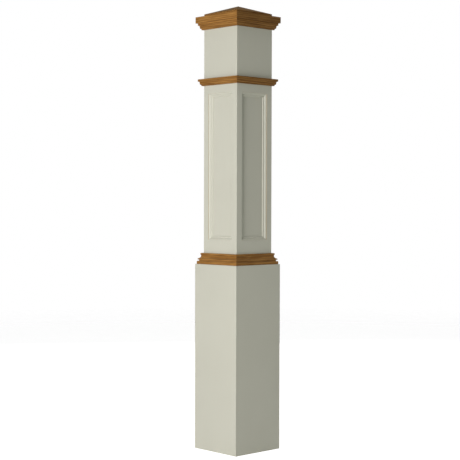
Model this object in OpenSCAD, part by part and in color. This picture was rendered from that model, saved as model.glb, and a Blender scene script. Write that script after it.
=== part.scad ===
// Square box newel post with recessed panels.
// The hollow shaft is four corner posts with boards and panels between them. Mitred base boards,
// mouldings and a low pyramid cap wrap it. Millimetres, Z up, floor at z = 0, post axis at x = y = 0.

/* [Shaft] */
// Width of the shaft over its flat faces
shaft_w = 158.75; // [130:0.25:220]
// Width of each square corner post, which shows as the stile beside a panel
post_w = 22.75; // [21:0.25:32]
// Thickness of the shaft boards between the corner posts
board_t = 20.6; // [16:0.1:21]

/* [Panels] */
// Height of the panel opening
panel_h = 481.5; // [120:0.5:900]
// Shaft face left plain between the base and the panel opening
rail_low_h = 81; // [60:0.5:200]
// Shaft face left plain between the panel opening and the collar
rail_high_h = 27; // [10:0.5:120]
// Depth of the panel below the shaft face
panel_recess = 9.5; // [8:0.1:12]

/* [Panel moulding] */
// Set back of the moulding's top from the shaft face
trim_set = 1.1; // [0.2:0.1:2]
// Flat along the top, beside the stile
trim_flat_w = 0.75; // [0.5:0.25:3]
// Radius of the large round
trim_round_r = 10; // [9:0.25:14]
// Slope, in degrees, at which the large round starts
trim_round_lean = 17; // [5:1:20]
// Width of the large round
trim_round_w = 5.75; // [3:0.25:6]
// Width of the quirk between the round and the bead
trim_quirk_w = 1.1; // [0.5:0.1:2]
// Height of the quirk above the panel
trim_quirk_t = 3.3; // [2:0.1:3.4]
// Radius of the bead
trim_bead_r = 3.6; // [3.5:0.1:5]

/* [Base] */
// Height of the base boards
base_h = 614.5; // [200:0.5:900]
// Thickness of the base boards
base_t = 20.6; // [17:0.1:28]

/* [Base moulding] */
// Projection of the bottom band from the shaft face
foot_p = 16.6; // [15.5:0.1:17]
// Height of the bottom band below its rounded edge
foot_h = 8; // [5:0.25:16]
// Radius of the rounded edge on the bottom band
foot_round_r = 2; // [1:0.25:4]
// Height of the groove above the bottom band
groove_h = 4.5; // [1.5:0.25:6]
// Depth of the groove behind the edge above it
groove_d = 3.2; // [1:0.1:4]
// Height of the edge below the cove
shelf_h = 4; // [1:0.25:6]
// Radius of the cove
base_cove_r = 8; // [5:0.25:8]
// Projection of the neck above the cove
neck_p = 6.5; // [5:0.25:7.25]
// Height of the neck
neck_h = 3; // [1:0.25:8]
// Radius of the bead along the top
top_bead_r = 3.5; // [2:0.25:5]
// Projection of the bead beyond the neck
top_bead_p = 2; // [0.5:0.1:2]

/* [Collar and bed moulding] */
// Projection at the foot of the profile
ogee_foot_p = 6.5; // [4:0.25:8]
// Height of the straight part at the foot
ogee_foot_h = 3.5; // [1:0.25:6]
// Radius of the lower, convex round
ogee_round_r = 4; // [2:0.25:5]
// Height of the flat between the two curves
ogee_flat_h = 3; // [0.5:0.25:6]
// Radius of the upper, hollow curve
ogee_cove_r = 4; // [2:0.25:5]
// Step out from the hollow to the lip
ogee_step = 0.5; // [0.25:0.25:2]
// Height of the lip
ogee_lip_h = 7.5; // [3:0.25:12]

/* [Crown] */
// Plain shaft face between the collar and the bed moulding
block_h = 162.5; // [60:0.5:400]
// Thickness of the band under the cap
band_t = 20.6; // [17:0.1:28]
// Height of the band
band_h = 20.5; // [10:0.5:40]

/* [Cap] */
// Height of the cap's upright edge
cap_edge_h = 9.5; // [4:0.5:25]
// Rise of the pyramid above that edge
cap_rise = 26.5; // [10:0.5:70]

/* [Hidden] */
$fn = 96;
// Overshoot of a cutting shape past what it cuts
over = 1;

half = shaft_w / 2;
panel_half = half - post_w;
panel_face = half - panel_recess;
panel_t = board_t - panel_recess;

trim_top = panel_recess - trim_set;
trim_round_end = trim_flat_w + trim_round_w;
trim_quirk_end = trim_round_end + trim_quirk_w;
trim_bead_y = trim_quirk_end + sqrt(pow(trim_bead_r, 2) - pow(trim_quirk_t, 2));
trim_w = trim_bead_y + trim_bead_r;

foot_flat_p = foot_p - foot_round_r;
shelf_p = neck_p + base_cove_r;
bead_flat_p = neck_p + top_bead_p - top_bead_r;
groove_z = foot_h + foot_round_r;
shelf_z = groove_z + groove_h;
base_cove_z = shelf_z + shelf_h;
top_bead_z = base_cove_z + base_cove_r + neck_h;
base_moulding_h = top_bead_z + 2 * top_bead_r;

ogee_flat_p = ogee_foot_p + ogee_round_r;
ogee_lip_p = ogee_flat_p + ogee_cove_r + ogee_step;
ogee_round_z = ogee_foot_h + ogee_round_r;
ogee_lip_z = ogee_round_z + ogee_flat_h + ogee_cove_r;
ogee_h = ogee_lip_z + ogee_lip_h;

opening_z = base_h + rail_low_h;
opening_top = opening_z + panel_h;
collar_z = opening_top + rail_high_h;
bed_z = collar_z + ogee_h + block_h;
band_z = bed_z + ogee_h;
shaft_top = band_z + band_h;

paint = "#d1cfc2";
oak = "#966d3b";

// Sides and corners run anticlockwise seen from above. Side 0 faces +X, corner 0 points to +X +Y.
// The edges of a panel run anticlockwise seen from outside.
sides = ["right", "back", "left", "front"];
corners = ["back_right", "back_left", "front_left", "front_right"];
edges = ["bottom", "right", "top", "left"];
side_parts = ["upper_board", "lower_board", "panel", "base_board",
              "base_moulding", "collar", "bed_moulding", "band"];

// Convex quarter circle with its centre at the origin
module quarter_round(r) {
    intersection() {
        circle(r);
        square(r);
    }
}

// Corner fillet between the two axes, hollowed by a circle that is tangent to both
module quarter_hollow(r) {
    difference() {
        square(r);
        translate([r, r]) circle(r);
    }
}

// Panel moulding, x up from the panel and y in from the stile: round, quirk and bead
module trim_profile() {
    square([trim_quirk_t, trim_quirk_end]);
    square([trim_top, trim_flat_w]);
    intersection() {
        translate([trim_top - trim_round_r * cos(trim_round_lean), trim_flat_w - trim_round_r * sin(trim_round_lean)])
            circle(trim_round_r);
        square([trim_top, trim_round_end]);
    }
    intersection() {
        translate([0, trim_bead_y]) circle(trim_bead_r);
        square([trim_bead_r, trim_w]);
    }
}

// Base moulding, x out from the shaft and y up: band, groove, shelf, cove, neck and bead
module base_profile() {
    square([foot_p, foot_h]);
    square([foot_flat_p, groove_z]);
    translate([foot_flat_p, foot_h]) quarter_round(foot_round_r);
    square([shelf_p - groove_d, shelf_z]);
    translate([0, shelf_z]) square([shelf_p, shelf_h]);
    translate([neck_p, base_cove_z]) quarter_hollow(base_cove_r);
    square([neck_p, top_bead_z]);
    square([bead_flat_p, base_moulding_h]);
    translate([bead_flat_p, top_bead_z + top_bead_r]) intersection() {
        circle(top_bead_r);
        translate([0, -top_bead_r]) square([top_bead_r, 2 * top_bead_r]);
    }
}

// Collar and bed moulding, x out from the shaft and y up: foot, round, flat, hollow and lip
module ogee_profile() {
    square([ogee_foot_p, ogee_h]);
    translate([ogee_foot_p, ogee_round_z]) mirror([0, 1]) quarter_round(ogee_round_r);
    translate([0, ogee_round_z]) square([ogee_flat_p, ogee_h - ogee_round_z]);
    translate([ogee_flat_p, ogee_lip_z]) mirror([0, 1]) quarter_hollow(ogee_cove_r);
    translate([0, ogee_lip_z]) square([ogee_lip_p, ogee_lip_h]);
}

// Turns a piece made for the +X side round to another side
module turned(side) {
    rotate([0, 0, 90 * side]) children();
}

// A profile wrapped along the +X side of the shaft and mitred at both corners.
// p is its greatest projection and h its height.
module wrap_strip(p, h) {
    reach = half + p + over;
    intersection() {
        rotate([90, 0, 0])
            linear_extrude(2 * reach, center = true)
                translate([half, 0]) children();
        translate([0, 0, -over])
            linear_extrude(h + 2 * over)
                polygon([[0, 0], [reach, -reach], [reach, reach]]);
    }
}

// A length of panel moulding along Y with its outer edge on z = 0, mitred inwards at both ends
module trim_strip(length) {
    long = length / 2 + over;
    short = length / 2 - trim_w - over;
    intersection() {
        rotate([90, 0, 0])
            linear_extrude(2 * long, center = true) trim_profile();
        translate([-over, 0, 0])
            rotate([90, 0, 90])
                linear_extrude(panel_recess + 2 * over)
                    polygon([[-long, -over], [long, -over],
                             [short, trim_w + over], [-short, trim_w + over]]);
    }
}

// A board of the +X side between its corner posts, its face depth below the shaft face
module shaft_board(depth, t, z0, z1) {
    translate([half - depth - t, -panel_half, z0])
        cube([t, 2 * panel_half, z1 - z0]);
}

module corner_post(corner) {
    color(paint) turned(corner)
        translate([panel_half, panel_half, 0])
            cube([post_w, post_w, shaft_top]);
}

module upper_board(side) {
    color(paint) turned(side) shaft_board(0, board_t, opening_top, shaft_top);
}

module lower_board(side) {
    color(paint) turned(side) shaft_board(0, board_t, 0, opening_z);
}

module panel(side) {
    color(paint) turned(side) shaft_board(panel_recess, panel_t, opening_z, opening_top);
}

module panel_moulding(side, edge) {
    upright = edge % 2 == 1;
    color(paint) turned(side)
        translate([panel_face, 0, opening_z + panel_h / 2])
            rotate([90 * edge, 0, 0])
                translate([0, 0, upright ? -panel_half : -panel_h / 2])
                    trim_strip(upright ? panel_h : 2 * panel_half);
}

module base_board(side) {
    color(paint) turned(side) wrap_strip(base_t, base_h) square([base_t, base_h]);
}

module base_moulding(side) {
    color(oak) turned(side)
        translate([0, 0, base_h])
            wrap_strip(foot_p, base_moulding_h) base_profile();
}

module collar(side) {
    color(oak) turned(side)
        translate([0, 0, collar_z])
            wrap_strip(ogee_lip_p, ogee_h) ogee_profile();
}

module bed_moulding(side) {
    color(oak) turned(side)
        translate([0, 0, bed_z])
            wrap_strip(ogee_lip_p, ogee_h) ogee_profile();
}

module band(side) {
    color(oak) turned(side)
        translate([0, 0, band_z])
            wrap_strip(band_t, band_h) square([band_t, band_h]);
}

// One ridge along Y over an upright edge, as wide and as long as the shaft
module ridge() {
    rotate([90, 0, 0])
        linear_extrude(shaft_w, center = true)
            polygon([[-half, 0], [half, 0], [half, cap_edge_h],
                     [0, cap_edge_h + cap_rise], [-half, cap_edge_h]]);
}

// Two ridges that cross meet in a four-sided pyramid
module cap() {
    color(oak) translate([0, 0, shaft_top])
        intersection() {
            ridge();
            turned(1) ridge();
        }
}

for (i = [0:3]) {
    corner_post(i);
    upper_board(i);
    lower_board(i);
    panel(i);
    base_board(i);
    base_moulding(i);
    collar(i);
    bed_moulding(i);
    band(i);
    for (j = [0:3])
        panel_moulding(i, j);
}
cap();
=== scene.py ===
import math

import bmesh
import bpy
from mathutils import Matrix, Vector


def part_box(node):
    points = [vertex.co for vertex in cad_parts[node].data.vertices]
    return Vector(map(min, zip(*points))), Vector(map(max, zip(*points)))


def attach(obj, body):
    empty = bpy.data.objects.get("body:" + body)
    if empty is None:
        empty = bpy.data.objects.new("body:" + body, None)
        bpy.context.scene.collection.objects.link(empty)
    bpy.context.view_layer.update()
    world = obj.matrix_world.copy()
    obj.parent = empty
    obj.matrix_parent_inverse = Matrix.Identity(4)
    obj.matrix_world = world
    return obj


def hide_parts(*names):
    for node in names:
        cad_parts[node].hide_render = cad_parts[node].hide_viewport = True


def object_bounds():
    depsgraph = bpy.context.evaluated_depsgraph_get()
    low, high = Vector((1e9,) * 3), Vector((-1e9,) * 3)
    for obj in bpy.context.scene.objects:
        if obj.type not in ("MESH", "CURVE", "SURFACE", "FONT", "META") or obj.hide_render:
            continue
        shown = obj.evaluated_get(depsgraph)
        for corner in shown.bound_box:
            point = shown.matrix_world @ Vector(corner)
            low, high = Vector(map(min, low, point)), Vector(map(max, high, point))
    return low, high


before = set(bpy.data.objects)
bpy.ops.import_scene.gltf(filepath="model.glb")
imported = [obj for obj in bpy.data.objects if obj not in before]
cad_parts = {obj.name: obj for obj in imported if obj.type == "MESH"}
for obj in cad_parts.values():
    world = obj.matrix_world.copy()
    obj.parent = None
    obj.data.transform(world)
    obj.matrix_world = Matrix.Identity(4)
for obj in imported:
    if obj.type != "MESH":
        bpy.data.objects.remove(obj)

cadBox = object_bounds()

sides = ["right", "back", "left", "front"]  # anticlockwise from above, starting at +X
corners = ["back_right", "back_left", "front_left", "front_right"]
edges = ["bottom", "right", "top", "left"]
merging = 1e-6  # metres: points closer than this are one point
touching = 1e-5  # metres: a point this near a face lies on it


class Wire:
    # A node socket that can be written in sums, and that adds further nodes to its tree
    def __init__(self, tree, socket=None):
        self.tree, self.socket = tree, socket

    def add(self, kind, settings=None, inputs=None, out=0):
        node = self.tree.nodes.new(kind)
        for key, value in (settings or {}).items():
            setattr(node, key, value)
        for key, values in (inputs or {}).items():
            target = node.inputs[key]
            # a list is several links into one socket
            for value in values if isinstance(values, list) else [values]:
                if isinstance(value, Wire):
                    self.tree.links.new(value.socket, target)
                elif target.type == "RGBA":
                    target.default_value = (*value, 1)
                else:
                    target.default_value = value
        return Wire(self.tree, node.outputs[out] if len(node.outputs) else None)

    def other(self, out):
        # Another output of the same node
        return Wire(self.tree, self.socket.node.outputs[out])

    def calc(self, operation, *values):
        return self.add("ShaderNodeMath", {"operation": operation}, dict(enumerate(values)))

    def __add__(self, b): return self.calc("ADD", self, b)
    def __radd__(self, b): return self.calc("ADD", b, self)
    def __sub__(self, b): return self.calc("SUBTRACT", self, b)
    def __rsub__(self, b): return self.calc("SUBTRACT", b, self)
    def __mul__(self, b): return self.calc("MULTIPLY", self, b)
    def __rmul__(self, b): return self.calc("MULTIPLY", b, self)
    def __truediv__(self, b): return self.calc("DIVIDE", self, b)
    def __rtruediv__(self, b): return self.calc("DIVIDE", b, self)
    def __pow__(self, b): return self.calc("POWER", self, b)
    def __rpow__(self, b): return self.calc("POWER", b, self)

    def atMost(self, b): return self.calc("MINIMUM", self, b)
    def atLeast(self, b): return self.calc("MAXIMUM", self, b)

    def stretch(self, low, high):
        # 0 up to low, 1 from high on
        return self.add("ShaderNodeMapRange", {"clamp": True},
                        {"Value": self, "From Min": low, "From Max": high}, "Result")

    def noise(self, scale, detail=2.0, rough=0.5, lean=0.0):
        return self.add("ShaderNodeTexNoise", {"noise_dimensions": "3D"},
                        {"Vector": self, "Scale": scale, "Detail": detail, "Roughness": rough,
                         "Distortion": lean}, "Fac")

    def grained(self, size, detail=2.0, rough=0.5, lean=0.0):
        # Noise drawn out along one axis
        drawn = self.add("ShaderNodeMapping", None, {"Vector": self, "Scale": size}, "Vector")
        return drawn.noise(1.0, detail, rough, lean)

    def bumped(self, strength, depth):
        return self.add("ShaderNodeBump", None, {
            "Height": self, "Strength": strength, "Distance": depth}, "Normal")

    def blend(self, a, b):
        # self is how much of b shows
        return self.add("ShaderNodeMix", {"data_type": "RGBA", "clamp_factor": True},
                        {0: self, 6: a, 7: b}, 2)


def newMaterial(name):
    material = bpy.data.materials.new(name)
    material.use_nodes = True
    tree = material.node_tree
    tree.nodes.clear()
    return material, Wire(tree)


def finishMaterial(start, inputs):
    surface = start.add("ShaderNodeBsdfPrincipled", None, inputs, "BSDF")
    start.add("ShaderNodeOutputMaterial", None, {"Surface": surface})


paintLook = {
    "coat": (0.640, 0.625, 0.535),
    "thin": (0.612, 0.596, 0.506),
    "rough": 0.42,
    "bend": 1.48,  # index of refraction
    "fibres": ((420, 9, 420), 3.0, 0.6),  # the boards' grain, through the paint
    "clouds": 5.0,  # broad patches to the metre
    "stipple": 1500,
    "bump": (0.35, 0.00012),  # strength and depth in metres
}


def makePaint(name, look):
    material, start = newMaterial(name)
    spot = start.add("ShaderNodeTexCoord", None, None, "Object")
    grain = start.add("ShaderNodeAttribute", {"attribute_name": "woodCo"}, None, "Vector")
    clouds = spot.noise(look["clouds"])
    fibres = grain.grained(*look["fibres"])
    stipple = spot.noise(look["stipple"])
    tone = (clouds * 0.7 + fibres * 0.3).stretch(0.30, 0.70)
    height = fibres * 0.6 + stipple * 0.25
    finishMaterial(start, {
        "Base Color": tone.blend(look["thin"], look["coat"]),
        "Roughness": look["rough"] + (clouds - 0.5) * 0.10 + (stipple - 0.5) * 0.06,
        "Normal": height.bumped(*look["bump"]),
        "IOR": look["bend"],
    })
    return material


woodGrain = {
    # each pattern: how fine it is across, along and across the grain,
    # then its detail, roughness and distortion
    "sway": ((12, 1.6, 12), 2.0, 0.5, 0.0),
    "figure": ((210, 17, 210), 3.0, 0.6, 0.4),  # broken streaks that show from across a room
    "streak": ((420, 7.0, 420), 3.0, 0.62, 0.0),
    "fine": ((1500, 22, 1500), 2.0, 0.6, 0.0),
    "pores": ((2100, 60, 2100), 1.0, 0.5, 0.0),
    "heart": (-0.07, 0.05),  # where the middle of the tree lies
    "rings": 1100.0,
    "ringSway": 0.030,
    "nextStrip": (0.31, 1.73, 0.47),  # how far off in the tree each next strip is cut
}

oakLook = {
    "early": (0.425, 0.210, 0.058),
    "late": (0.165, 0.066, 0.012),
    "pore": (0.070, 0.028, 0.007),
    "paintedSheen": (0.205, 0.160, 0.090),  # painted reflection: the grey that upward faces fade towards, standing in for the lacquer's sheen seen at a grazing angle
    "sheenFrom": (0.80, 0.96),  # how far a face looks up where the painted reflection starts, and where it is full
    "rough": 0.50,
    "gloss": 0.12,
    "bump": (0.5, 0.00010),
    "tonesAndShade": {  # how light each strip is: right, back, left, front; the darker right-facing strips of the collar, bed moulding and band are painted shade, the rest is the wood's tone
        "base_moulding": (1.06, 0.98, 1.03, 1.04),
        "collar": (0.84, 1.04, 0.97, 0.95),
        "bed_moulding": (0.78, 0.99, 1.06, 1.04),
        "band": (0.76, 1.03, 0.94, 1.08),
    },
    "capTone": 0.9,
}

rawLook = {
    "early": (0.62, 0.45, 0.27),
    "late": (0.48, 0.32, 0.17),
    "rough": 0.62,
    "gloss": 0.5,
    "bump": (0.6, 0.00015),
}


def makeWood(name, look, stained):
    # Grain along Y of the woodCo attribute, and a different piece of the tree for each strip
    material, start = newMaterial(name)
    spot = start.add("ShaderNodeAttribute", {"attribute_name": "woodCo"}, None, "Vector")
    strip = start.add("ShaderNodeAttribute", {"attribute_name": "strip"}, None, "Fac")
    stepX, stepY, stepZ = woodGrain["nextStrip"]
    apart = start.add("ShaderNodeCombineXYZ", None, {
        "X": strip * stepX, "Y": strip * stepY, "Z": strip * stepZ}, "Vector")
    spot = start.add("ShaderNodeVectorMath", {"operation": "ADD"}, {0: spot, 1: apart}, "Vector")
    patterns = ["sway", "figure", "streak", "fine"] + (["pores"] if stained else [])
    sway, figure, streak, fine, *pores = [spot.grained(*woodGrain[p]) for p in patterns]
    x = spot.add("ShaderNodeSeparateXYZ", None, {"Vector": spot}, "X")
    heartX, heartZ = woodGrain["heart"]
    fromX, fromZ = x - heartX, x.other("Z") - heartZ
    radius = (fromX * fromX + fromZ * fromZ) ** 0.5
    ripple = (radius + sway * woodGrain["ringSway"]) * woodGrain["rings"]
    rings = ripple.calc("SINE", ripple) * 0.5 + 0.5
    dark = (rings * 0.30 + figure * 1.15 + streak * 0.55 + fine * 0.20 - 0.62).stretch(0.14, 0.90)
    colour = dark.blend(look["early"], look["late"])
    if stained:
        tone = start.add("ShaderNodeAttribute", {"attribute_name": "tone"}, None, "Fac")
        pores = pores[0].stretch(0.60, 0.70) * rings.stretch(0.35, 0.8)
        colour = (pores * 0.5).blend(colour, look["pore"])
        # tone per strip, which on the darker right-facing strips is painted shade
        colour = colour.add("ShaderNodeVectorMath", {"operation": "SCALE"},
                            {0: colour, "Scale": tone}, "Vector")
        # painted reflection: faces that look up fade towards a grey sheen
        upward = start.add("ShaderNodeAttribute", {"attribute_name": "upward"}, None, "Fac")
        colour = (upward * (figure * 0.4 + 0.25)).blend(colour, look["paintedSheen"])
        height = fine * 0.4 + streak * 0.3 - pores * 0.8
        rough = look["rough"] + (streak - 0.5) * 0.18 + pores * 0.15
    else:
        height = fine * 0.5 + streak * 0.5
        rough = look["rough"] + (fine - 0.5) * 0.2
    finishMaterial(start, {
        "Base Color": colour, "Roughness": rough, "Specular IOR Level": look["gloss"],
        "Normal": height.bumped(*look["bump"])})
    return material


paint = makePaint("satinPaint", paintLook)
oak = makeWood("stainedOak", oakLook, True)
raw = makeWood("rawTimber", rawLook, False)
print("materials made")


def softened(points, ease):
    # Eases each sharp corner of a closed outline by the same small amount
    made = []
    count = len(points)
    curving = 0.6  # radians: a smaller turn is part of a curve, not a corner
    share = 0.4  # the most of a side to cut off
    for i, here in enumerate(points):
        before, after = points[i - 1] - here, points[(i + 1) % count] - here
        if math.pi - before.angle(after) < curving:
            made.append(here)
            continue
        cut = min(ease, share * before.length, share * after.length)
        a, b = here + before.normalized() * cut, here + after.normalized() * cut
        made += [a, (a + 2 * here + b) / 4, b]
    return made


def arc(x, z, r, first, last, steps=7):
    # Points round a circle, angles in degrees
    turns = [math.radians(first + (last - first) * i / steps) for i in range(steps + 1)]
    return [(x + r * math.cos(t), z + r * math.sin(t)) for t in turns]


def outline(points, ease):
    # A closed outline in metres, from points in millimetres
    made = []
    for x, z in points:
        here = Vector((x, z))
        if not made or (here - made[-1]).length > merging:
            made.append(here)
    made = softened(made, ease)
    held = []
    longSide, holding = 1.5, 0.25  # millimetres
    for here, there in zip(made, made[1:] + made[:1]):
        held.append(here)
        gap = there - here
        if gap.length > longSide:  # a point just inside each end keeps a flat's shading flat
            inset = gap.normalized() * holding
            held += [here + inset, there - inset]
    return [(p.x / 1000, p.y / 1000) for p in held]


def baseOutline(size):
    # Foot, groove, shelf, cove, neck and bead
    shelf = size["neckOut"] + size["cove"]
    foot = size["footOut"] - size["footRound"]
    z1 = size["footHigh"] + size["footRound"]
    z2 = z1 + size["grooveHigh"]
    z3 = z2 + size["shelfHigh"]
    z4 = z3 + size["cove"] + size["neckHigh"]
    beadX = size["neckOut"] + size["beadOut"] - size["bead"]
    top = z4 + 2 * size["bead"]
    return outline(
        [(0, 0), (size["footOut"], 0)] + arc(foot, size["footHigh"], size["footRound"], 0, 90)
        + [(shelf - size["grooveDeep"], z1), (shelf - size["grooveDeep"], z2)]
        + [(shelf, z2), (shelf, z3)]
        + arc(shelf, z3 + size["cove"], size["cove"], 270, 180)
        + [(size["neckOut"], z4)] + arc(beadX, z4 + size["bead"], size["bead"], -76, 90, 10)
        + [(0, top)],
        size["ease"])


def ogeeOutline(size):
    # Foot, round, hollow and lip
    flat = size["footOut"] + size["round"]
    z1 = size["footHigh"] + size["round"]
    z2 = z1 + size["flatHigh"]
    z3 = z2 + size["hollow"]
    lip = flat + size["hollow"] + size["step"]
    return outline(
        [(0, 0), (size["footOut"], 0)] + arc(size["footOut"], z1, size["round"], -90, 0)
        + arc(flat + size["hollow"], z2, size["hollow"], 180, 90)
        + [(lip, z3), (lip, z3 + size["lipHigh"]), (0, z3 + size["lipHigh"])],
        size["ease"])


def trimOutline(size, recess):
    # Bead, quirk and large round: x up from the panel, z in from the stile
    top, lean = recess - size["setBack"], math.radians(size["lean"])
    roundX = top - size["round"] * math.cos(lean)
    roundZ = size["flat"] - size["round"] * math.sin(lean)
    roundEnd = size["flat"] + size["roundWide"]
    last = math.degrees(math.asin(math.sin(lean) + size["roundWide"] / size["round"]))
    back = math.sqrt(size["bead"] ** 2 - size["quirkHigh"] ** 2)
    first = -math.degrees(math.asin(back / size["bead"]))
    return outline(
        arc(0, roundEnd + size["quirk"] + back, size["bead"], 90, first, 10)
        + [(size["quirkHigh"], roundEnd)]
        + arc(roundX, roundZ, size["round"], last, size["lean"], 8) + [(top, 0), (0, 0)],
        size["ease"])


def newTree(name, sockets):
    tree = bpy.data.node_groups.new(name, "GeometryNodeTree")
    tree.interface.new_socket("Profile", in_out="INPUT", socket_type="NodeSocketGeometry")
    for label, kind in sockets:
        tree.interface.new_socket(label, in_out="INPUT", socket_type="NodeSocket" + kind)
    tree.interface.new_socket("Geometry", in_out="OUTPUT", socket_type="NodeSocketGeometry")
    start = Wire(tree).add("NodeGroupInput", None, None, "Profile")
    return tree, start


def sweep(start, columns):
    # The profile drawn along a line from y = -1 to y = 1, with closed ends
    rail = start.add("GeometryNodeCurvePrimitiveLine", None,
                     {"Start": (0, -1, 0), "End": (0, 1, 0)}, "Curve")
    rail = start.add("GeometryNodeResampleCurve", None, {"Curve": rail, "Count": columns}, "Curve")
    ring = start.add("GeometryNodeMeshToCurve", None, {"Mesh": start}, "Curve")
    return start.add("GeometryNodeCurveToMesh", None,
                     {"Curve": rail, "Profile Curve": ring, "Fill Caps": True}, "Mesh")


def moved(mesh, x, y, z):
    spot = mesh.add("ShaderNodeCombineXYZ", None, {"X": x, "Y": y, "Z": z}, "Vector")
    return mesh.add("GeometryNodeSetPosition", None,
                    {"Geometry": mesh, "Position": spot}, "Geometry")


def named(mesh, name, kind, value, domain="POINT"):
    return mesh.add("GeometryNodeStoreNamedAttribute", {"data_type": kind, "domain": domain},
                    {"Geometry": mesh, "Name": name, "Value": value}, "Geometry")


def turnedRound(strip, count, turnX=False):
    # Copies of a strip, turned evenly about one axis
    points = strip.add("GeometryNodePoints", None, {"Count": count}, "Points")
    number = strip.add("GeometryNodeInputIndex", None, None, "Index")
    turn = number * (2 * math.pi / count)
    angles = strip.add("ShaderNodeCombineXYZ", None, {"X" if turnX else "Z": turn}, "Vector")
    return strip.add("GeometryNodeInstanceOnPoints", None,
                     {"Points": points, "Instance": strip, "Rotation": angles}, "Instances")


def closeTree(tree, mesh, material):
    mesh = mesh.add("GeometryNodeRealizeInstances", None, {"Geometry": mesh}, "Geometry")
    mesh = mesh.add("GeometryNodeSetMaterial", None,
                    {"Geometry": mesh, "Material": material}, "Geometry")
    mesh.add("NodeGroupOutput", None, {"Geometry": mesh})


wrapRail = {
    "columns": 14,
    "flatTo": 0.385,  # share of the half length that the last column on the flat stands at
    "cornerFrom": 0.538,  # and the next column, where the rounded corner starts
    "slack": 0.0003,  # metres between those two
    "creep": 0.002,  # metres that a column moves for a whole share past the flat
    "easing": 0.5,  # most of its distance from the shaft that a corner is rounded by
}


def wrapTree(name, material):
    # Four strips round the post: the profile's x is the distance from the post's axis
    tree, start = newTree(name, [("Half Width", "Float"), ("Corner", "Float"), ("Columns", "Int"),
                                 ("Seam", "Float"), ("Grain Up", "Bool"), ("First Strip", "Float")])
    flatTo, cornerFrom = wrapRail["flatTo"], wrapRail["cornerFrom"]
    mesh = sweep(start, start.other("Columns"))
    spot = mesh.add("GeometryNodeInputPosition", None, None, "Position")
    x = mesh.add("ShaderNodeSeparateXYZ", None, {"Vector": spot}, "X")
    along, z = x.other("Y"), x.other("Z")
    share = along.calc("ABSOLUTE", along)
    easing = (x - start.other("Half Width")) * wrapRail["easing"]
    easing = easing.atLeast(0.0).atMost(start.other("Corner"))
    middle = x - easing
    flatEnd = middle - wrapRail["slack"]
    reach = (share / flatTo * flatEnd).atMost(flatEnd + (share - flatTo) * wrapRail["creep"])
    reach = reach.atMost(middle)
    # the last columns turn the corner
    past = ((share - cornerFrom) / (1 - cornerFrom)).atLeast(0.0) * (math.pi / 4)
    outward = middle + easing * past.calc("COSINE", past)
    hand = along.calc("SIGN", along)
    sideways = (reach + easing * past.calc("SINE", past) - start.other("Seam") * share) * hand
    flat = mesh.add("ShaderNodeCombineXYZ", None, {"X": x, "Y": reach * hand, "Z": z}, "Vector")
    upright = mesh.add("ShaderNodeCombineXYZ", None, {"X": x, "Y": z, "Z": reach * hand}, "Vector")
    grain = mesh.add("GeometryNodeSwitch", {"input_type": "VECTOR"}, {
        "Switch": start.other("Grain Up"), "False": flat, "True": upright}, "Output")
    mesh = moved(named(mesh, "woodCo", "FLOAT_VECTOR", grain), outward, sideways, z)
    copies = turnedRound(mesh, 4)
    number = copies.add("GeometryNodeInputIndex", None, None, "Index")
    copies = named(copies, "strip", "FLOAT", number + start.other("First Strip"), "INSTANCE")
    closeTree(tree, copies, material)
    return tree


def trimTree(name, material):
    # Four frames of moulding: the profile's x is up from the panel, its z in from the opening
    tree, start = newTree(name, [("Half Width", "Float"), ("Half Height", "Float"),
                                 ("Panel Face", "Float"), ("Middle", "Float"), ("Seam", "Float")])
    bars = []
    for upright in (False, True):
        mesh = sweep(start, 2)
        spot = mesh.add("GeometryNodeInputPosition", None, None, "Position")
        x = mesh.add("ShaderNodeSeparateXYZ", None, {"Vector": spot}, "X")
        along, inward = x.other("Y"), x.other("Z")
        length = start.other("Half Height" if upright else "Half Width")
        out = start.other("Half Width" if upright else "Half Height")
        grain = mesh.add("ShaderNodeCombineXYZ", None, {
            "X": x, "Y": along * length, "Z": inward}, "Vector")
        mesh = named(mesh, "woodCo", "FLOAT_VECTOR", grain)
        mesh = moved(mesh, x, along * (length - inward - start.other("Seam")), inward - out)
        copies = turnedRound(mesh, 2, True)
        bars.append(copies.add("GeometryNodeTransform", None, {
            "Geometry": copies, "Rotation": (math.pi / 2 if upright else 0, 0, 0)}, "Geometry"))
    joined = start.add("GeometryNodeJoinGeometry", None, {"Geometry": bars}, "Geometry")
    lift = start.add("ShaderNodeCombineXYZ", None, {
        "X": start.other("Panel Face"), "Z": start.other("Middle")}, "Vector")
    placed = joined.add("GeometryNodeTransform", None, {
        "Geometry": joined, "Translation": lift}, "Geometry")
    closeTree(tree, turnedRound(placed, 4), material)
    return tree


def grow(name, tree, points, values):
    # Runs a tree on a closed outline and keeps the result as a plain mesh
    flat = bpy.data.meshes.new(name + "Outline")
    count = len(points)
    flat.from_pydata([(x, z, 0) for x, z in points],
                     [(i, (i + 1) % count) for i in range(count)], [])
    piece = bpy.data.objects.new(name, flat)
    bpy.context.collection.objects.link(piece)
    modifier = piece.modifiers.new("grow", "NODES")
    modifier.node_group = tree
    for item in tree.interface.items_tree:
        if item.item_type == "SOCKET" and item.in_out == "INPUT" and item.name in values:
            modifier[item.identifier] = values[item.name]
    graph = bpy.context.evaluated_depsgraph_get()
    mesh = bpy.data.meshes.new_from_object(piece.evaluated_get(graph), depsgraph=graph)
    piece.modifiers.remove(modifier)
    piece.data = mesh
    bpy.data.meshes.remove(flat)
    used = [m for m in mesh.materials if m]
    mesh.materials.clear()
    mesh.materials.append(used[0])
    mesh.polygons.foreach_set("material_index", [0] * len(mesh.polygons))
    finishMesh(mesh)
    return piece


def finishMesh(mesh):
    # Outward faces, smooth round the curves and sharp at the edges
    work = bmesh.new()
    work.from_mesh(mesh)
    bmesh.ops.remove_doubles(work, verts=work.verts, dist=merging)
    bmesh.ops.recalc_face_normals(work, faces=work.faces)
    work.to_mesh(mesh)
    work.free()
    mesh.shade_smooth()
    mesh.set_sharp_from_angle(angle=math.radians(32))  # steeper than any step round a curve


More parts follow.
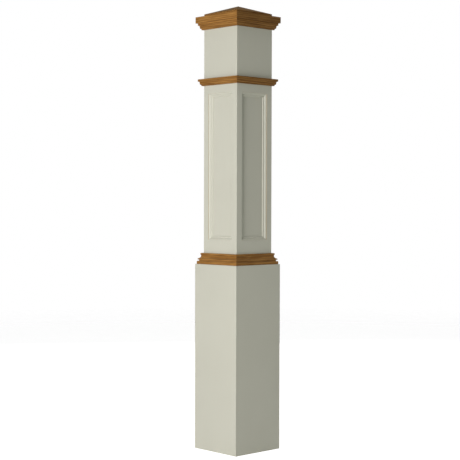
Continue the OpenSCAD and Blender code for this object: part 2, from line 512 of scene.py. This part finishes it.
def handOver(piece, slotName, *nodes):
    # Puts a piece on the post's body in place of its nodes, and says how it fills their box
    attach(piece, "root")
    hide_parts(*nodes)
    low = [min(v.co[i] for v in piece.data.vertices) for i in range(3)]
    high = [max(v.co[i] for v in piece.data.vertices) for i in range(3)]
    boxes = [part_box(n) for n in nodes]
    want = [min(b[0][i] for b in boxes) for i in range(3)]
    want += [max(b[1][i] for b in boxes) for i in range(3)]
    off = max(abs(a - b) for a, b in zip(low + high, want))
    print(f"  {piece.name}: {len(piece.data.polygons)} faces, box off by {off * 1000:.2f} mm")


lowCap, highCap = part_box("cap")
half = highCap.x  # the cap is as wide as the shaft
wrapPaint = wrapTree("paintedWrap", paint)
wrapOak = wrapTree("oakWrap", oak)
seam = 0.00006  # metres: half the hairline left at each mitred joint


def markTops(mesh):
    # 1 on faces that look straight up, fading to 0 on steeper ones: where the painted reflection
    # shows
    none, full = oakLook["sheenFrom"]
    mesh.attributes.new("upward", "FLOAT", "FACE")
    mesh.attributes["upward"].data.foreach_set(
        "value", [min(1.0, max(0.0, (f.normal.z - none) / (full - none))) for f in mesh.polygons])


def setToneAndShade(mesh, tonesAndShade, first):
    # How light each of the four strips is, told apart by its number: the wood's tone, with painted
    # shade on the darker right-facing strips
    numbers = [0.0] * len(mesh.vertices)
    mesh.attributes["strip"].data.foreach_get("value", numbers)
    mesh.attributes.new("tone", "FLOAT", "POINT")
    mesh.attributes["tone"].data.foreach_set("value", [tonesAndShade[round(n - first)] for n in numbers])
    markTops(mesh)


def wrapPiece(name, tree, end, points, corner, slotName, first, grainUp=False):
    # Sweeps an outline round the post, standing on the bottom of the nodes that it replaces
    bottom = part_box("right_" + end)[0].z
    ring = [(half + x, -(bottom + z)) for x, z in points]  # the sweep turns y over
    piece = grow(name, tree, ring, {
        "Half Width": half, "Corner": corner / 1000, "Columns": wrapRail["columns"],
        "Seam": seam, "Grain Up": grainUp, "First Strip": first})
    if end in oakLook["tonesAndShade"]:
        setToneAndShade(piece.data, oakLook["tonesAndShade"][end], first)
    handOver(piece, slotName, *[f"{side}_{end}" for side in sides])


# sizes in millimetres; firstStrip is where in the tree a piece's four strips are cut
baseWrap = {"corner": 1.0, "topEdge": 1.0, "ease": 0.3, "firstStrip": 4.0}
lowBase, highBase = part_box("right_base_board")
thick, tall = (highBase.x - half) * 1000, (highBase.z - lowBase.z) * 1000
top = baseWrap["topEdge"]
wrapPiece("baseBoards", wrapPaint, "base_board",
          outline([(0, 0), (thick, 0)] + arc(thick - top, tall - top, top, 0, 90, 4) + [(0, tall)],
                  baseWrap["ease"]),
          baseWrap["corner"], "painted_wood", baseWrap["firstStrip"], grainUp=True)

baseMoulding = {  # millimetres, from the bottom up
    "footOut": 16.6, "footHigh": 8.0, "footRound": 2.0, "grooveHigh": 4.5, "grooveDeep": 3.2,
    "shelfHigh": 4.0, "cove": 8.0, "neckOut": 6.5, "neckHigh": 3.0, "bead": 3.5, "beadOut": 2.0,
    "ease": 0.35, "corner": 0.5, "firstStrip": 8.0,
}
wrapPiece("baseMouldings", wrapOak, "base_moulding", baseOutline(baseMoulding),
          baseMoulding["corner"], "stained_oak", baseMoulding["firstStrip"])

ogee = {  # collar and bed moulding: millimetres, from the bottom up
    "footOut": 6.5, "footHigh": 3.5, "round": 4.0, "flatHigh": 3.0, "hollow": 4.0,
    "step": 0.5, "lipHigh": 7.5, "ease": 0.4, "corner": 0.6,
    "firstStrips": (12.0, 16.0),
}
wrapPiece("collars", wrapOak, "collar", ogeeOutline(ogee),
          ogee["corner"], "stained_oak", ogee["firstStrips"][0])
wrapPiece("bedMouldings", wrapOak, "bed_moulding", ogeeOutline(ogee),
          ogee["corner"], "stained_oak", ogee["firstStrips"][1])

crownBand = {"ease": 0.9, "corner": 0.9, "firstStrip": 20.0}  # millimetres
lowBand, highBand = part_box("right_band")
thick, tall = (highBand.x - half) * 1000, (highBand.z - lowBand.z) * 1000
wrapPiece("crownBands", wrapOak, "band",
          outline([(0, 0), (thick, 0), (thick, tall), (0, tall)], crownBand["ease"]),
          crownBand["corner"], "stained_oak", crownBand["firstStrip"])
print("wrapped pieces made")

panelTrim = {  # millimetres, in from the stile
    "setBack": 1.1, "flat": 0.75, "round": 10.0, "lean": 17.0, "roundWide": 5.75,
    "quirk": 1.1, "quirkHigh": 3.3, "bead": 3.6, "ease": 0.2,
}
lowPanel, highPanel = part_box("right_panel")
trimPoints = [(x, -z) for x, z in trimOutline(panelTrim, (half - highPanel.x) * 1000)]
trims = grow("panelMouldings", trimTree("panelTrim", paint), trimPoints, {
    "Half Width": highPanel.y, "Half Height": (highPanel.z - lowPanel.z) / 2,
    "Panel Face": highPanel.x, "Middle": (highPanel.z + lowPanel.z) / 2, "Seam": seam})
handOver(trims, "painted_wood", *[f"{s}_panel_moulding_{e}" for s in sides for e in edges])
print("panel mouldings made")


def copyNode(node, name):
    # A merged copy of a CAD node, its triangles joined into flat faces
    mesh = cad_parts[node].data.copy()
    mesh.materials.clear()
    piece = bpy.data.objects.new(name, mesh)
    bpy.context.collection.objects.link(piece)
    work = bmesh.new()
    work.from_mesh(mesh)
    bmesh.ops.remove_doubles(work, verts=work.verts, dist=merging)
    bmesh.ops.dissolve_limit(work, angle_limit=0.01, verts=work.verts, edges=work.edges)
    return piece, work


def closeCopy(piece, work, materials, pick=None):
    # Writes a copy back, with the material that pick chooses on each face
    bmesh.ops.recalc_face_normals(work, faces=work.faces)
    for face in work.faces:
        face.material_index = pick(face) if pick else 0
    # smooth only inside an eased arris, where faces are alike in area and turn little,
    # so a flat stays flat
    similar, curving = 8, 0.6
    for edge in work.edges:
        areas = sorted(f.calc_area() for f in edge.link_faces)
        edge.smooth = areas[-1] < similar * areas[0] and edge.calc_face_angle(0) < curving
    mesh = piece.data
    work.to_mesh(mesh)
    work.free()
    for material in materials:
        mesh.materials.append(material)
    mesh.shade_smooth()
    return mesh


def grainFrom(mesh, strip, upright=True, tone=1.0):
    # Grain up the piece, or along Y, from one piece of the tree
    spots = [(v.co.x, v.co.z, v.co.y) if upright else tuple(v.co) for v in mesh.vertices]
    mesh.attributes.new("woodCo", "FLOAT_VECTOR", "POINT")
    mesh.attributes["woodCo"].data.foreach_set("vector", [c for spot in spots for c in spot])
    mesh.attributes.new("strip", "FLOAT", "POINT")
    mesh.attributes["strip"].data.foreach_set("value", [strip] * len(spots))
    mesh.attributes.new("tone", "FLOAT", "POINT")
    mesh.attributes["tone"].data.foreach_set("value", [tone] * len(spots))


def easeEdges(work, wanted, width):
    chosen = [e for e in work.edges if wanted(e)]
    bmesh.ops.bevel(work, geom=chosen, offset=width, segments=4, profile=0.5,
                    affect="EDGES", clamp_overlap=True)


def farthest(co):
    # How far out a point is, square to the nearest side
    return max(abs(co.x), abs(co.y))


shaft = {
    "arris": 0.0008,  # metres
    "postStrips": (0.31, 0.17),  # where in the tree the first is cut, and the step to the next
    "boardStrips": (0.9, 0.23),
}
firstPost, nextPost = shaft["postStrips"]
for i, corner in enumerate(corners):
    piece, work = copyNode("post_" + corner, f"cornerPost{i + 1}")
    outer = half - touching
    easeEdges(work, lambda e: all(min(abs(v.co.x), abs(v.co.y)) > outer for v in e.verts),
              shaft["arris"])
    mesh = closeCopy(piece, work, [paint, raw], lambda f: int(
        farthest(f.calc_center_median()) <= half - shaft["arris"] or abs(f.normal.z) >= 0.5))
    grainFrom(mesh, firstPost + i * nextPost)
    handOver(piece, "painted_wood", "post_" + corner)

firstBoard, nextBoard = shaft["boardStrips"]
for i, sideName in enumerate(sides):
    for end in ("upper_board", "lower_board", "panel"):
        piece, work = copyNode(f"{sideName}_{end}", sideName + end.title().replace("_", ""))
        face = (half if end != "panel" else highPanel.x) - touching
        mesh = closeCopy(piece, work, [paint, raw],
                         lambda f: int(any(farthest(v.co) <= face for v in f.verts)))
        grainFrom(mesh, firstBoard + i * nextBoard)
        handOver(piece, "painted_wood", f"{sideName}_{end}")
print("shaft made")

capBlock = {"arris": 0.0006, "strip": 2.6}  # arris in metres
piece, work = copyNode("cap", "capBlock")
easeEdges(work, lambda e: any(v.co.z >= lowCap.z + touching for v in e.verts),
          capBlock["arris"])
mesh = closeCopy(piece, work, [oak])
grainFrom(mesh, capBlock["strip"], False, oakLook["capTone"])
# the cap's upward slopes get the painted reflection
markTops(mesh)
handOver(piece, "stained_oak", "cap")
print("cap made")


light = {
    # each lamp: degrees round from the front face towards the right one, height,
    # distance and size in metres, watts, colour
    "lamps": {
        "key": (14, 1.22, 3.0, 1.8, 69.5, (1, 1, 1)),
        "side": (50, 0.8, 3.0, 1.4, 9.8, (0.91, 0.99, 0.84)),
        "edge": (155, 1.0, 3.0, 1.8, 13, (0.95, 1, 0.92)),
        "overhead": (0, 3.5, 0.0, 2.5, 25, (1, 1, 1)),
        "behind": (235, 1.2, 3.0, 1.8, 40, (1, 1, 1)),
    },
    "aimHeight": 0.8,
    "skyForPost": 0.03,
    "skySeen": 1.0,
}

floorLook = {
    "tone": 0.92,
    "glow": 0.85,  # added only to what the eye sees
    "radius": 6,
    "fade": (1.2, 5.5),  # where the floor starts and ends melting into the sky
    "below": 0.0005,  # half a millimetre under the post
}


def makeFloor(look):
    mesh = bpy.data.meshes.new("floor")
    work = bmesh.new()
    bmesh.ops.create_circle(work, cap_ends=True, segments=96, radius=look["radius"])
    work.to_mesh(mesh)
    work.free()
    floor = bpy.data.objects.new("floor", mesh)
    floor.location.z = cadBox[0][2] - look["below"]
    bpy.context.collection.objects.link(floor)
    material, start = newMaterial("paleFloor")
    spot = start.add("ShaderNodeTexCoord", None, None, "Object")
    away = spot.add("ShaderNodeVectorMath", {"operation": "LENGTH"}, {0: spot}, "Value")
    fade = away.stretch(*look["fade"])
    seen = start.add("ShaderNodeLightPath", None, None, "Is Camera Ray")
    surface = start.add("ShaderNodeBsdfDiffuse", None, {"Color": (look["tone"],) * 3}, "BSDF")
    glow = start.add("ShaderNodeEmission", None, {
        "Color": (1, 1, 1), "Strength": look["glow"]}, "Emission")
    both = start.add("ShaderNodeAddShader", None, {0: surface, 1: glow}, "Shader")
    shown = start.add("ShaderNodeMixShader", None, {0: seen, 1: surface, 2: both}, "Shader")
    clear = start.add("ShaderNodeBsdfTransparent", None, None, "BSDF")
    mixed = start.add("ShaderNodeMixShader", None, {0: fade, 1: shown, 2: clear}, "Shader")
    start.add("ShaderNodeOutputMaterial", None, {"Surface": mixed})
    mesh.materials.append(material)


def makeWorld():
    world = bpy.data.worlds.new("studio")
    bpy.context.scene.world = world
    world.use_nodes = True
    world.node_tree.nodes.clear()
    start = Wire(world.node_tree)
    seen = start.add("ShaderNodeLightPath", None, None, "Is Camera Ray")
    forPost, forEye = [start.add("ShaderNodeBackground", None, {
        "Color": (1, 1, 1), "Strength": strength}, "Background")
        for strength in (light["skyForPost"], light["skySeen"])]
    sky = start.add("ShaderNodeMixShader", None, {0: seen, 1: forPost, 2: forEye}, "Shader")
    start.add("ShaderNodeOutputWorld", None, {"Surface": sky})


def makeLamp(name, turn, high, far, wide, watts, colour):
    lamp = bpy.data.lights.new(name, "AREA")
    lamp.shape = "SQUARE"
    lamp.size = wide
    lamp.energy = watts
    lamp.color = colour
    angle = math.radians(turn)
    spot = Vector((math.sin(angle) * far, -math.cos(angle) * far, high))
    holder = bpy.data.objects.new(name, lamp)
    holder.location = spot
    aim = Vector((0, 0, light["aimHeight"]))
    holder.rotation_euler = (spot - aim).to_track_quat("Z", "Y").to_euler()
    bpy.context.collection.objects.link(holder)


view = {
    "lens": 97.06,  # millimetres
    "sensor": 36,
    "place": (2.9938, -2.8260, 0.8207),  # metres
    "down": 0.0227,  # tilt below level, radians
    "roll": -0.00251,
    "shift": -0.01647,
}


def makeCamera():
    data = bpy.data.cameras.new("camera")
    data.lens = view["lens"]
    data.sensor_width = view["sensor"]
    data.shift_x = view["shift"]
    camera = bpy.data.objects.new("camera", data)
    spot = Vector(view["place"])
    level = Vector((-spot.x, -spot.y, 0)).normalized()
    right = level.cross(Vector((0, 0, 1)))
    ahead = level * math.cos(view["down"]) - Vector((0, 0, 1)) * math.sin(view["down"])
    up = right.cross(ahead)
    roll = view["roll"]
    across = right * math.cos(roll) - up * math.sin(roll)
    upward = right * math.sin(roll) + up * math.cos(roll)
    turn = Matrix((across, upward, -ahead)).transposed().to_4x4()
    camera.matrix_world = Matrix.Translation(spot) @ turn
    bpy.context.collection.objects.link(camera)
    bpy.context.scene.camera = camera


makeFloor(floorLook)
makeWorld()
for name, settings in light["lamps"].items():
    makeLamp(name, *settings)
makeCamera()
bpy.context.scene.view_settings.view_transform = "Standard"
print("light and camera set")
